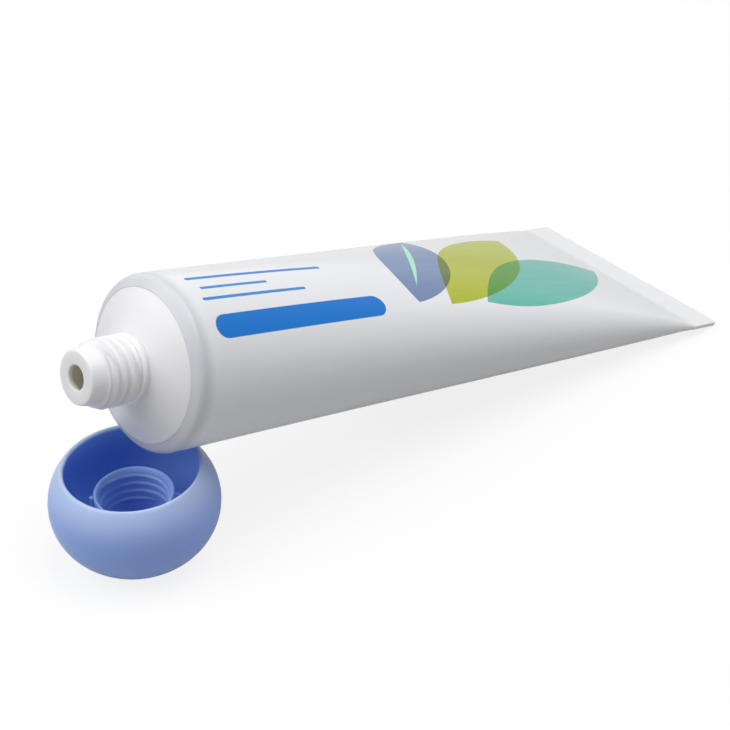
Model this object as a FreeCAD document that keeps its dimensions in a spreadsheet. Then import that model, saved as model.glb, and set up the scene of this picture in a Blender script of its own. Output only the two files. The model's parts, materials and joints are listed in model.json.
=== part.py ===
"""A toothpaste tube lying on its unscrewed ball cap.

Four pieces: the laminate sleeve, the moulded head (shoulder, threaded neck and nozzle), the filling of paste,
and the screw cap.  Sleeve, head and paste share one axis.  Their own frame has its origin in the middle of the
plane where the sleeve is still a full circle, +Z towards the nozzle and +Y out of the flat of the tail seal.
The cap has its own frame, with its foot on Z = 0 and its mouth up.  All lengths are millimetres.
"""
import FreeCAD
import Part
import math
import os
import Sketcher

# name, value, meaning: every size that can be set by itself
SIZES = [
    # sleeve
    ("tube_diameter", 38.0, "outside of the round end of the sleeve"),
    ("laminate", 0.4, "thickness of the sleeve wall"),
    ("edge_height", 6.3, "from the full-circle plane up to the sleeve's rolled edge"),
    ("edge_radius", 16.6, "radius at which the rolled edge stops"),
    ("edge_round", 2.0, "radius between the round wall and the slope of the rolled edge"),
    ("edge_turn", 60.0, "degrees that the slope has turned from the round wall"),
    ("skirt_length", 1.0, "straight round stretch behind the rolled edge"),
    ("taper_length", 139.0, "from the round stretch to the tail seal"),
    ("side_sweep", 50.0, "half the angle of the arcs at the sides of the pressed section, at the round end"),
    ("side_power", 0.7, "how the radius of those arcs falls towards the tail"),
    ("seal_length", 8.0, "length of the flat heat seal at the tail"),
    ("seal_gap", 0.2, "height of the slit where the walls run into the seal"),
    ("seal_corner", 0.8, "rounding of the two corners of the seal"),
    # head
    ("shoulder_wall", 1.2, "thickness of the shoulder cone"),
    ("skirt_wall", 1.1, "thickness of the head's skirt inside the sleeve"),
    ("cone_radius", 7.85, "radius of the top of the shoulder cone"),
    ("cone_height", 9.7, "height of the top of the shoulder cone"),
    ("groove_radius", 6.9, "bottom of the groove between cone and bead"),
    ("bead_bottom", 10.7, "height of the lower side of the bead"),
    ("bead_top", 11.35, "height of the upper side of the bead"),
    ("bead_radius", 7.45, "outside of the bead"),
    ("neck_radius", 6.7, "root of the neck's thread"),
    ("neck_top", 19.2, "height where the threaded neck gives way to the nozzle tip"),
    ("tip_base_radius", 6.3, "nozzle tip where it leaves the neck"),
    ("tip_radius", 5.8, "nozzle tip at its end face"),
    ("tip_round", 0.35, "rounding of the nozzle's end edge"),
    ("nozzle_height", 22.9, "height of the nozzle's end face"),
    ("orifice_radius", 2.65, "opening in the end face"),
    ("lip_thickness", 1.4, "depth of the opening before the bore widens"),
    ("bore_tip_radius", 4.4, "bore just inside the lip"),
    ("bore_base_radius", 5.4, "bore at the shoulder"),
    # thread of neck and cap
    ("thread_pitch", 2.1, "rise of one turn"),
    ("thread_radius", 7.5, "crest of the neck's thread"),
    ("thread_crest", 0.8, "width of the neck ridge at its crest"),
    ("thread_base", 1.5, "width of the neck ridge at its root"),
    ("thread_top", 18.5, "height of the middle of the ridge where the thread starts"),
    ("thread_turns", 3.3, "turns of the neck's ridge"),
    ("thread_bite", 0.15, "how far a ridge is sunk into the wall that carries it"),
    ("thread_clearance", 0.2, "radial play between the two threads"),
    # cap
    ("cap_height", 21.7, "from the foot to the top of the rim"),
    ("cap_radius", 18.5, "widest radius of the ball"),
    ("ball_share", 0.6376, "radius of the ball's arc in section, as a part of the cap's height"),
    ("waist_share", 0.5826, "height at which the ball is widest, as a part of the cap's height"),
    ("cap_wall", 1.5, "wall at the widest place"),
    ("cap_floor", 1.5, "thickness over the foot"),
    ("rim_round", 0.35, "radius of the rounded rim"),
    ("foot_round", 1.5, "rounding between foot and ball"),
    ("collar_wall", 1.0, "wall of the threaded collar outside the root of its thread"),
    ("collar_drop", 6.7, "from the rim down to the collar's edge"),
    ("collar_lip", 0.7, "width of the collar's edge before the lead-in"),
    ("lead_in", 0.9, "depth of the lead-in chamfer"),
    ("ridge_crest", 0.4, "width of the cap ridge at its crest"),
    ("ridge_base", 0.9, "width of the cap ridge at its root"),
    ("ridge_drop", 1.2, "from the collar's edge down to the middle of the first ridge"),
    ("ridge_turns", 3.4, "turns of the cap's ridge"),
    ("plug_inner", 3.2, "inside of the ring that closes on the nozzle"),
    ("plug_outer", 4.4, "outside of that ring"),
    ("closing_gap", 0.3, "between rim and shoulder when the cap is screwed home"),
    ("rib_width", 1.0, "thickness of one rib outside the collar"),
    ("rib_reach", 1.0, "how far a rib stands out of the collar"),
    ("rib_drop", 1.0, "from the collar's edge down to the top of a rib"),
    # paste
    ("fill_gap", 0.3, "between the paste and the walls around it"),
    ("fill_share", 0.55, "part of the taper that the paste fills"),
    # how it lies
    ("prop_station", 7.6, "how far behind the full-circle plane the sleeve lies on the cap's rim"),
    ("prop_clearance", 0.2, "between sleeve and rim there"),
    ("cap_aside", 2.2, "how far the cap stands to the side of the tube's axis"),
]
RIB_COUNT = 4
PRESSED_SHARES = [0.0, 0.2, 0.4, 0.6, 0.8]  # places of the sections along the taper
RIB_ANGLE = 52.0  # degrees from the tube's direction to the first rib

doc = FreeCAD.newDocument("toothpaste_tube")
sheet = doc.addObject("Spreadsheet::Sheet", "Sizes")
for row, (name, value, meaning) in enumerate(SIZES, start=1):
    sheet.set("A%d" % row, name)
    sheet.set("B%d" % row, str(value))
    sheet.set("C%d" % row, meaning)
    sheet.setAlias("B%d" % row, name)
doc.recompute()


class Size:
    """A number together with the formula that ties it to the sheet."""

    def __init__(self, number, formula):
        self.number = number
        self.formula = formula

    @staticmethod
    def of(other):
        return other if isinstance(other, Size) else Size(other, repr(float(other)))

    def join(self, other, number, sign):
        return Size(number, "(%s %s %s)" % (self.formula, sign, Size.of(other).formula))

    def __add__(self, other):
        return self.join(other, self.number + Size.of(other).number, "+")

    def __sub__(self, other):
        return self.join(other, self.number - Size.of(other).number, "-")

    def __mul__(self, other):
        return self.join(other, self.number * Size.of(other).number, "*")

    def __truediv__(self, other):
        return self.join(other, self.number / Size.of(other).number, "/")

    def __neg__(self):
        return Size(0.0, "0") - self


def degrees(angle, function, name):
    """Sine or cosine of an angle in degrees, kept tied to the sheet."""
    return Size(function(math.radians(angle.number)), "%s(%s)" % (name, angle.formula))


def size(name):
    """The sheet's value of one size, tied to its cell."""
    return Size(float(sheet.get(name)), "Sizes.%s" % name)


def root(value):
    """Square root, kept tied to the sheet."""
    return Size(math.sqrt(value.number), "sqrt(%s)" % value.formula)


ZERO = Size(0.0, "0")
ONE = Size(1.0, "1")
tube_radius = size("tube_diameter") / 2
inner_radius = tube_radius - size("laminate")
taper_start = -size("skirt_length")
taper_end = taper_start - size("taper_length")
cone_slope = (size("cone_height") - size("edge_height")) / (size("edge_radius") - size("cone_radius"))


class Profile:
    """A closed outline on one of a body's own planes, its corners and arcs tied to the sheet."""

    def __init__(self, body, label, plane="XZ_Plane", level=None):
        self.sketch = body.newObject("Sketcher::SketchObject", label)
        planes = [f for f in body.Origin.OriginFeatures if f.Role == plane]
        self.sketch.AttachmentSupport = [(planes[0], "")]
        self.sketch.MapMode = "FlatFace"
        if level is not None:
            self.sketch.AttachmentOffset.Base = FreeCAD.Vector(0, 0, level.number)
            self.sketch.setExpression("AttachmentOffset.Base.z", level.formula)

    def bind(self, kind, *args):
        """Adds a constraint whose last argument is a Size."""
        *where, value = args
        index = self.sketch.addConstraint(Sketcher.Constraint(kind, *where, value.number))
        self.sketch.setExpression("Constraints[%d]" % index, value.formula)

    def fix(self, *args):
        """Adds a constraint that has no value."""
        self.sketch.addConstraint(Sketcher.Constraint(*args))

    def put(self, edge, end, across=None, up=None):
        """Sets the distances of a point from the sketch's two axes."""
        for kind, value in (("DistanceX", across), ("DistanceY", up)):
            if value is None:
                continue
            if value is ZERO:
                self.fix("PointOnObject", edge, end, -2 if kind == "DistanceX" else -1)
            else:
                self.bind(kind, -1, 1, edge, end, value)

    def line(self, start, end):
        points = [FreeCAD.Vector(x.number, y.number, 0) for x, y in (start, end)]
        return self.sketch.addGeometry(Part.LineSegment(*points))

    def arc(self, centre, radius, first, last):
        """An arc from angle first to angle last, in radians, anticlockwise."""
        middle = FreeCAD.Vector(centre[0], centre[1], 0)
        circle = Part.Circle(middle, FreeCAD.Vector(0, 0, 1), radius)
        return self.sketch.addGeometry(Part.ArcOfCircle(circle, first, last))

    def polygon(self, corners):
        """A closed run of straight edges with every corner tied to the sheet."""
        count = len(corners)
        edges = [self.line(corners[i], corners[(i + 1) % count]) for i in range(count)]
        for i in range(count):
            self.fix("Coincident", edges[i - 1], 2, edges[i], 1)
            self.put(edges[i], 1, corners[i][0], corners[i][1])
        return edges


def new_body(label):
    body = doc.addObject("PartDesign::Body", label)
    body.Label = label
    return body


def feature(body, kind, label, profile, **options):
    """Adds one PartDesign feature made from a profile."""
    made = body.newObject("PartDesign::" + kind, label)
    made.Profile = profile.sketch
    profile.sketch.Visibility = False
    for key, value in options.items():
        if isinstance(value, Size):
            setattr(made, key, value.number)
            made.setExpression(key, value.formula)
        else:
            setattr(made, key, value)
    return made


def turned(body, label, profile):
    """A full revolution about the body's Z axis."""
    return feature(body, "Revolution", label, profile, ReferenceAxis=(profile.sketch, ["V_Axis"]), Angle=360.0)


# ---------------------------------------------------------------------------------------------------------
# The rolled edge: an arc that leaves the round wall smoothly, and a straight slope that ends on the shoulder's
# cone.  The head's rim lies under it, so both pieces draw it, at their own depth below the outside.
# ---------------------------------------------------------------------------------------------------------
rise = size("edge_height")
turn_in = tube_radius - size("edge_radius")
turn_cos = degrees(size("edge_turn"), math.cos, "cos")
turn_sin = degrees(size("edge_turn"), math.sin, "sin")
round_start = rise - turn_in * turn_cos / turn_sin - size("edge_round") * (ONE - turn_cos) / turn_sin


def slope_end(depth):
    """Where the slope ends, at a depth below the outside."""
    return size("edge_radius") - turn_cos * depth, rise - turn_sin * depth


def rolled_edge(profile, depth):
    """The arc and the slope at a depth below the sleeve's outside; returns both edges."""
    centre = (tube_radius - size("edge_round"), round_start)
    turn = math.radians(size("edge_turn").number)
    radius = size("edge_round") - depth
    bend = profile.arc((centre[0].number, centre[1].number), radius.number, 0.0, turn)
    slope_start = (centre[0] + turn_cos * radius, centre[1] + turn_sin * radius)
    slope = profile.line(slope_start, slope_end(depth))
    profile.put(bend, 3, centre[0], centre[1])
    profile.bind("Radius", bend, radius)
    profile.put(bend, 1, None, round_start)
    profile.fix("Tangent", bend, 2, slope, 1)
    profile.put(slope, 2, *slope_end(depth))
    return bend, slope


# ---------------------------------------------------------------------------------------------------------
# sleeve
# ---------------------------------------------------------------------------------------------------------
def oval(share):
    """The pressed section a share of the way down the taper: radius and half angle of its side arcs, radius of
    its broad arcs.  The girth stays that of the round end, as in a sheet that bends without being stretched."""
    angle = size("side_sweep") + (Size.of(90.0) - size("side_sweep")) * share
    falling = Size((1 - share) ** size("side_power").number, "((%r)^Sizes.side_power)" % (1 - share))
    side = tube_radius * falling
    broad = (tube_radius * 90.0 - side * angle) / (Size.of(90.0) - angle)
    return side, angle, broad


def oval_section(body, label, share, depth):
    """Four arcs that meet smoothly, at a depth below the outside: above, far side, below, near side."""
    section = Profile(body, label, "XY_Plane", taper_start - size("taper_length") * share)
    side, angle, broad = oval(share)
    shift = broad - side
    sine, cosine = degrees(angle, math.sin, "sin"), degrees(angle, math.cos, "cos")
    across, up = (broad - depth) * cosine, (side - depth) * sine
    turn, half = math.radians(angle.number), math.pi
    middles = [(0.0, -(shift * sine).number), (-(shift * cosine).number, 0.0),
               (0.0, (shift * sine).number), ((shift * cosine).number, 0.0)]
    radii = [broad - depth, side - depth] * 2
    starts = [turn, half - turn, half + turn, -turn]
    ends = [half - turn, half + turn, 2 * half - turn, turn]
    corners = [(across, up), (-across, up), (-across, -up), (across, -up)]
    arcs = [section.arc(*shape) for shape in zip(middles, [r.number for r in radii], starts, ends)]
    for i, edge in enumerate(arcs):
        section.fix("Coincident", edge, 2, arcs[(i + 1) % 4], 1)
        section.put(edge, 1, *corners[i])
        section.bind("Radius", edge, radii[i])
    return section


def flat_section(body, label, half_width, side, level):
    """A thin rectangle with its edges in the same order as the four arcs."""
    section = Profile(body, label, "XY_Plane", level)
    section.polygon([
        (half_width, side),
        (-half_width, side),
        (-half_width, -side),
        (half_width, -side),
    ])
    return section


def flattening(body, kind, label, depth, half_width, side):
    """The loft from the full circle through the pressed sections to the flat at the seal."""
    ovals = [oval_section(body, "%s_%d" % (label, i), share, depth) for i, share in enumerate(PRESSED_SHARES)]
    tail = flat_section(body, label + "_flat", half_width, side, taper_end)
    following = [section.sketch for section in ovals[1:]] + [tail.sketch]
    return feature(body, kind, label, ovals[0], Sections=following, Ruled=False)


def corner_edges(shape, length, reach):
    """Names of the edges that run through the seal's thickness at its two outer corners."""
    names = []
    for number, edge in enumerate(shape.Edges, start=1):
        ends = [v.Point for v in edge.Vertexes]
        if all(abs(p.z + length) < 1e-4 and abs(abs(p.x) - reach) < 1e-4 for p in ends):
            if abs(ends[0].x - ends[-1].x) < 1e-4:
                names.append("Edge%d" % number)
    return names


sleeve = new_body("sleeve")
collar_profile = Profile(sleeve, "rolled_edge_profile")
outer = rolled_edge(collar_profile, ZERO)
inner = rolled_edge(collar_profile, size("laminate"))
cut_edge = collar_profile.line(slope_end(ZERO), slope_end(size("laminate")))
outside = collar_profile.line((tube_radius, round_start), (tube_radius, taper_start))
under = collar_profile.line((tube_radius, taper_start), (inner_radius, taper_start))
inside = collar_profile.line((inner_radius, taper_start), (inner_radius, round_start))
for one, its_end, other, other_end in (
    (outer[1], 2, cut_edge, 1), (cut_edge, 2, inner[1], 2), (outer[0], 1, outside, 1),
    (outside, 2, under, 1), (under, 2, inside, 1), (inside, 2, inner[0], 1),
):
    collar_profile.fix("Coincident", one, its_end, other, other_end)
collar_profile.put(outside, 2, tube_radius, taper_start)
collar_profile.put(under, 2, inner_radius, taper_start)
turned(sleeve, "rolled_edge", collar_profile)

flattening(sleeve, "AdditiveLoft", "outside", ZERO, tube_radius * (math.pi / 2), size("laminate"))
seal_profile = flat_section(
    sleeve, "seal_profile", tube_radius * (math.pi / 2), size("laminate"), taper_end)
seal = feature(sleeve, "Pad", "seal", seal_profile, Length=size("seal_length"), Reversed=True)
hollow = flattening(
    sleeve, "SubtractiveLoft", "inside", size("laminate"), inner_radius * (math.pi / 2), size("seal_gap") / 2)
doc.recompute()
tube_length = (size("seal_length") - taper_end).number
rounded = sleeve.newObject("PartDesign::Fillet", "seal_corners")
rounded.Base = (hollow, corner_edges(hollow.Shape, tube_length, tube_radius.number * math.pi / 2))
rounded.Radius = size("seal_corner").number
rounded.setExpression("Radius", size("seal_corner").formula)

# ---------------------------------------------------------------------------------------------------------
# head
# ---------------------------------------------------------------------------------------------------------
head = new_body("head")
head_profile = Profile(head, "head_profile")
head_bend, head_slope = rolled_edge(head_profile, size("laminate"))
skirt_inner = inner_radius - size("skirt_wall")
cone_drop = size("shoulder_wall") * root(cone_slope * cone_slope + 1)


def cone_at(radius):
    """Height of the shoulder cone's outside at a radius."""
    return size("edge_height") + (size("edge_radius") - radius) * cone_slope


under_slope = slope_end(size("laminate") + size("shoulder_wall"))
slope_fall = turn_cos / turn_sin
slope_top = under_slope[1] + under_slope[0] * slope_fall
cone_top = rise + size("edge_radius") * cone_slope - cone_drop
inner_edge = (slope_top - cone_top) / (slope_fall - cone_slope)
lip_bottom = size("nozzle_height") - size("lip_thickness")
corners = [
    (inner_radius, round_start),
    (inner_radius, taper_start),
    (skirt_inner, taper_start),
    (skirt_inner, slope_top - skirt_inner * slope_fall),
    (inner_edge, cone_at(inner_edge) - cone_drop),
    (size("bore_base_radius"), cone_at(size("bore_base_radius")) - cone_drop),
    (size("bore_tip_radius"), lip_bottom),
    (size("orifice_radius"), lip_bottom),
    (size("orifice_radius"), size("nozzle_height")),
    (size("tip_radius"), size("nozzle_height")),
    (size("tip_base_radius"), size("neck_top") + (size("neck_radius") - size("tip_base_radius"))),
    (size("neck_radius"), size("neck_top")),
    (size("neck_radius"), size("bead_top")),
    (size("bead_radius"), size("bead_top")),
    (size("bead_radius"), size("bead_bottom")),
    (size("groove_radius"), size("bead_bottom")),
    (size("groove_radius"), size("cone_height")),
    (size("cone_radius"), size("cone_height")),
    (size("edge_radius"), rise),
    slope_end(size("laminate")),
]
sides = [head_profile.line(a, b) for a, b in zip(corners, corners[1:])]
for here, following in zip(sides, sides[1:]):
    head_profile.fix("Coincident", here, 2, following, 1)
head_profile.fix("Coincident", head_bend, 1, sides[0], 1)
head_profile.fix("Coincident", sides[-1], 2, head_slope, 2)
for side_edge, corner in zip(sides[:-1], corners[1:-1]):
    head_profile.put(side_edge, 2, corner[0], corner[1])
shell = turned(head, "shell", head_profile)
doc.recompute()


def circle_edge(shape, radius, level):
    """Name of the full circular edge of a radius at a level."""
    for number, edge in enumerate(shape.Edges, start=1):
        if not isinstance(edge.Curve, Part.Circle):
            continue
        if abs(edge.Curve.Radius - radius) < 1e-4 and abs(edge.Curve.Center.z - level) < 1e-4:
            return "Edge%d" % number
    raise ValueError("no edge of radius %s at %s" % (radius, level))


tip_edge = head.newObject("PartDesign::Fillet", "tip_edge")
tip_edge.Base = (shell, [circle_edge(shell.Shape, size("tip_radius").number, size("nozzle_height").number)])
tip_edge.Radius = size("tip_round").number
tip_edge.setExpression("Radius", size("tip_round").formula)


def ridge(body, label, root_at, crest_at, middle, base, crest, turns):
    """A helical ridge, drawn above the axis and wound towards the foot of the part."""
    profile = Profile(body, label + "_profile", "YZ_Plane")
    profile.polygon([
        (root_at, middle - base / 2),
        (crest_at, middle - crest / 2),
        (crest_at, middle + crest / 2),
        (root_at, middle + base / 2),
    ])
    return feature(
        body, "AdditiveHelix", label, profile, ReferenceAxis=(profile.sketch, ["V_Axis"]),
        Mode="pitch-turns-angle", Pitch=size("thread_pitch"), Turns=turns, Angle=0.0, Growth=0.0,
        LeftHanded=False, Reversed=True)


ridge(
    head, "thread", size("neck_radius") - size("thread_bite"), size("thread_radius"),
    size("thread_top"), size("thread_base"), size("thread_crest"), size("thread_turns"))

# ---------------------------------------------------------------------------------------------------------
# paste
# ---------------------------------------------------------------------------------------------------------
paste = new_body("paste")
# the part of the taper after which the walls are too near each other for the gap on both sides
filling = flattening(
    paste, "AdditiveLoft", "filling", size("laminate") + size("fill_gap"),
    inner_radius * (math.pi / 2) - size("fill_gap"), size("seal_gap") / 4)


def cut_off(body, label, level, upwards):
    """Removes all that lies beyond a level."""
    profile = Profile(body, label + "_profile", "XY_Plane", level)
    reach = tube_radius * 2
    profile.polygon([(reach, reach), (-reach, reach), (-reach, -reach), (reach, -reach)])
    return feature(body, "Pocket", label, profile, Type="ThroughAll", Reversed=upwards)


cut_off(paste, "front", taper_start - size("fill_gap"), True)
cut_off(paste, "tail", taper_start - size("taper_length") * size("fill_share"), False)

# ---------------------------------------------------------------------------------------------------------
# cap
# ---------------------------------------------------------------------------------------------------------
cap = new_body("cap")
height = size("cap_height")
ball_radius = height * size("ball_share")
waist_height = height * size("waist_share")
ball_axis = size("cap_radius") - ball_radius
rim_level = height - size("rim_round")
rim_reach = root(
    (ball_radius - size("rim_round")) * (ball_radius - size("rim_round"))
    - (rim_level - waist_height) * (rim_level - waist_height))
rim_radius = ball_axis + rim_reach
waist_inner = size("cap_radius") - size("cap_wall")
# the upper inside arc touches the upright at the waist and the rim's round
above = rim_level - waist_height
inward = waist_inner - rim_radius
upper_arc = (above * above + inward * inward - size("rim_round") * size("rim_round")) / (
    (inward + size("rim_round")) * 2)
foot_reach = root(
    (ball_radius - size("foot_round")) * (ball_radius - size("foot_round"))
    - (waist_height - size("foot_round")) * (waist_height - size("foot_round")))
foot_radius = ball_axis + foot_reach
floor_arc = ball_radius - size("cap_wall")
floor_reach = root(
    floor_arc * floor_arc
    - (waist_height - size("cap_floor")) * (waist_height - size("cap_floor")))

bowl = Profile(cap, "bowl_profile")
waist = waist_height.number
foot_turn = math.atan2((size("foot_round") - waist_height).number, foot_reach.number)
rim_turn = math.atan2(above.number, rim_reach.number)
lip_turn = math.atan2(above.number, (rim_radius - waist_inner + upper_arc).number)
floor_turn = math.atan2((size("cap_floor") - waist_height).number, floor_reach.number)
foot = bowl.line((ZERO, ZERO), (foot_radius, ZERO))
foot_edge = bowl.arc(
    (foot_radius.number, size("foot_round").number), size("foot_round").number, -math.pi / 2, foot_turn)
ball = bowl.arc((ball_axis.number, waist), ball_radius.number, foot_turn, rim_turn)
rim = bowl.arc((rim_radius.number, rim_level.number), size("rim_round").number, rim_turn, math.pi + lip_turn)
throat = bowl.arc(((waist_inner - upper_arc).number, waist), upper_arc.number, 0.0, lip_turn)
basin = bowl.arc((ball_axis.number, waist), floor_arc.number, floor_turn, 0.0)
floor = bowl.line((ball_axis + floor_reach, size("cap_floor")), (ZERO, size("cap_floor")))
middle_line = bowl.line((ZERO, size("cap_floor")), (ZERO, ZERO))
for kind, one, its_end, other, other_end in (
    ("Coincident", foot, 2, foot_edge, 1), ("Tangent", foot_edge, 2, ball, 1),
    ("Tangent", ball, 2, rim, 1), ("Tangent", rim, 2, throat, 2),
    ("Coincident", throat, 1, basin, 2), ("Coincident", basin, 1, floor, 1),
    ("Coincident", floor, 2, middle_line, 1), ("Coincident", middle_line, 2, foot, 1),
):
    bowl.fix(kind, one, its_end, other, other_end)
bowl.put(foot, 1, ZERO, ZERO)
bowl.put(foot_edge, 3, foot_radius, size("foot_round"))
bowl.put(foot_edge, 1, foot_radius)
bowl.put(ball, 3, ball_axis, waist_height)
bowl.bind("Radius", ball, ball_radius)
bowl.put(rim, 3, rim_radius, rim_level)
bowl.put(throat, 3, waist_inner - upper_arc, waist_height)
bowl.put(basin, 3, ball_axis, waist_height)
bowl.put(basin, 2, None, waist_height)
bowl.put(basin, 1, None, size("cap_floor"))
bowl.put(floor, 2, ZERO, size("cap_floor"))
turned(cap, "bowl", bowl)

collar_top = height - size("collar_drop")
collar_root = size("thread_radius") + size("thread_clearance")
collar_radius = collar_root + size("collar_wall")
sunk = size("cap_floor") - size("thread_bite")
collar_wall = Profile(cap, "collar_profile")
collar_wall.polygon([
    (collar_root, sunk),
    (collar_radius, sunk),
    (collar_radius, collar_top),
    (collar_radius - size("collar_lip"), collar_top),
    (collar_root, collar_top - size("lead_in")),
])
turned(cap, "collar", collar_wall)

# screwed home, the rim stops just above the shoulder and this ring meets the nozzle's end face
home_station = cone_at(rim_radius) + size("closing_gap")
plug_top = height - size("nozzle_height") + home_station
plug_ring = Profile(cap, "plug_profile")
plug_ring.polygon([
    (size("plug_inner"), sunk),
    (size("plug_outer"), sunk),
    (size("plug_outer"), plug_top),
    (size("plug_inner"), plug_top),
])
turned(cap, "plug", plug_ring)

ridge_root = collar_root + size("thread_bite")
ridge(
    cap, "cap_thread", ridge_root, size("neck_radius") + size("thread_clearance"),
    collar_top - size("ridge_drop"), size("ridge_base"), size("ridge_crest"), size("ridge_turns"))

rib_profile = Profile(cap, "rib_profile", "XY_Plane", sunk)
half_rib = size("rib_width") / 2
rib_inside = collar_radius - size("collar_lip")
rib_profile.polygon([
    (collar_radius + size("rib_reach"), half_rib),
    (rib_inside, half_rib),
    (rib_inside, -half_rib),
    (collar_radius + size("rib_reach"), -half_rib),
])
rib = feature(
    cap, "Pad", "rib", rib_profile, Length=collar_top - size("rib_drop") - sunk)
doc.recompute()
ribs = cap.newObject("PartDesign::PolarPattern", "ribs")
ribs.Originals = [rib]
ribs.Axis = (rib_profile.sketch, ["N_Axis"])
ribs.Angle = 360.0
ribs.Occurrences = RIB_COUNT
cap.Tip = ribs

# ---------------------------------------------------------------------------------------------------------
# How it lies: the cap stands on its foot, the sleeve lies on the cap's rim, and the lower edge of the tail
# seal touches the ground.  The tilt follows from the height of the rim and that of the seal's edge.
# ---------------------------------------------------------------------------------------------------------
half_seal = size("laminate").number
station = size("prop_station").number
side, angle, broad = oval(max(0.0, station - size("skirt_length").number) / size("taper_length").number)
depth_there = (broad - (broad - side) * degrees(angle, math.sin, "sin")).number
along = tube_length - station
below = depth_there - half_seal
lift = height.number + size("prop_clearance").number
tilt = math.asin(lift / math.hypot(along, below)) + math.atan2(below, along)
axis_height = tube_length * math.sin(tilt) + half_seal * math.cos(tilt)
rest_x = station * math.cos(tilt) - depth_there * math.sin(tilt)
rim_outer = rim_radius.number + size("rim_round").number
cap_x = rest_x - math.sqrt(rim_radius.number ** 2 - size("cap_aside").number ** 2)
tail_x = tube_length * math.cos(tilt) + half_seal * math.sin(tilt)
middle_x = (tail_x + cap_x - size("cap_radius").number) / 2

lie = FreeCAD.Rotation(
    FreeCAD.Vector(0, -1, 0),
    FreeCAD.Vector(math.sin(tilt), 0, math.cos(tilt)),
    FreeCAD.Vector(-math.cos(tilt), 0, math.sin(tilt)), "ZXY")
for body in (sleeve, head, paste):
    body.Placement = FreeCAD.Placement(FreeCAD.Vector(-middle_x, 0, axis_height), lie)
cap.Placement = FreeCAD.Placement(
    FreeCAD.Vector(cap_x - middle_x, -size("cap_aside").number, 0),
    FreeCAD.Rotation(FreeCAD.Vector(0, 0, 1), RIB_ANGLE))
doc.recompute()

# ---------------------------------------------------------------------------------------------------------
# checks, then one file for each piece
# ---------------------------------------------------------------------------------------------------------
for item in doc.Objects:
    if "Invalid" in item.State or "Error" in item.State:
        raise RuntimeError("%s did not compute: %s" % (item.Label, item.State))
pieces = [sleeve, head, paste, cap]
for piece in pieces:
    if piece.Shape.isNull() or not piece.Shape.isValid() or len(piece.Shape.Solids) != 1:
        raise RuntimeError("%s is not one valid solid" % piece.Label)

os.makedirs("parts", exist_ok=True)
for piece in pieces:
    piece.Shape.exportStep("parts/%s.step" % piece.Label)
    box = piece.Shape.BoundBox
    print("%-7s %8.2f cm3  x %.2f..%.2f  y %.2f..%.2f  z %.2f..%.2f" % (
        piece.Label, piece.Shape.Volume / 1000, box.XMin, box.XMax, box.YMin, box.YMax, box.ZMin, box.ZMax))
print("tilt %.3f degrees, cap at %.3f, %.3f, full-circle plane at %.3f, 0, %.3f" % (
    math.degrees(tilt), cap_x - middle_x, -size("cap_aside").number, -middle_x, axis_height))
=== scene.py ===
# %% [markdown]
# # A toothpaste tube lying on its unscrewed cap
#
# The tube is a printed laminate sleeve, pressed flat and sealed at one end and shrunk round a moulded
# polyethylene head at the other.  Its cap is a polypropylene ball with a threaded collar inside.
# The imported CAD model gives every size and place.  It is loaded first and never changed.

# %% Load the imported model
import json
import math

import bmesh
import bpy
from mathutils import Matrix, Vector


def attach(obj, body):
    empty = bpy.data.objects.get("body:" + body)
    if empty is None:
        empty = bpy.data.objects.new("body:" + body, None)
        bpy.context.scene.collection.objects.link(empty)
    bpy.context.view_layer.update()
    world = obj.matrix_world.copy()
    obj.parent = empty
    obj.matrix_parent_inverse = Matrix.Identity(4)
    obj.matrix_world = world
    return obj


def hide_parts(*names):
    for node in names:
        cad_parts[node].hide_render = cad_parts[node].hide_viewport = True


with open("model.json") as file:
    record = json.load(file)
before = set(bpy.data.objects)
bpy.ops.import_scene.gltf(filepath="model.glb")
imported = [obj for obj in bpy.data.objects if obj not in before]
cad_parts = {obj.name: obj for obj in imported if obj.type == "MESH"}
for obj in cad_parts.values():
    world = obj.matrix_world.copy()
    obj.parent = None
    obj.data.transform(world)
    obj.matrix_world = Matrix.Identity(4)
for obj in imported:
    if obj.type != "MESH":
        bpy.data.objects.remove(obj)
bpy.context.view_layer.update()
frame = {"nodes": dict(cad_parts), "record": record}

print("CAD nodes:", sorted(frame["nodes"]))

# %% [markdown]
# ## Places
#
# Sleeve, head and paste share one axis.  The record's nozzle mount gives that axis and the middle of the
# nozzle's end face, and the cap's foot mount gives the spot on which the cap stands.  Each piece is modelled
# upright at the origin, nozzle or mouth up, in metres, and then put in its place with its mesh.

# %% Where the tube and the cap lie
MM = 0.001
mounts = {mount["name"]: mount for mount in frame["record"]["mounts"]}
nozzle_height = 22.9
cap_turn = math.radians(52)
tube_axis = Vector(mounts["nozzle_orifice"]["axis"]).normalized()
shoulder_middle = Vector(mounts["nozzle_orifice"]["pos_m"]) - nozzle_height * MM * tube_axis
towards_viewer = Vector((0, -1, 0))
off_the_seal = tube_axis.cross(towards_viewer)
tube_place = Matrix.Translation(shoulder_middle) @ Matrix(
    (towards_viewer, off_the_seal, tube_axis)).transposed().to_4x4()
cap_foot = Vector(mounts["cap_foot"]["pos_m"])
cap_place = Matrix.Translation(cap_foot) @ Matrix.Rotation(cap_turn, 4, "Z")
print("tube leans %.1f degrees" % math.degrees(math.asin(tube_axis.z)), "cap at", tuple(cap_foot))

# %% [markdown]
# ## Camera
#
# The camera looks down on the nozzle end from the left, from about half a metre, so the tube runs away from
# it to the upper right.  Its place is given from the spot on the floor under the middle of the shoulder.

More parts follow.
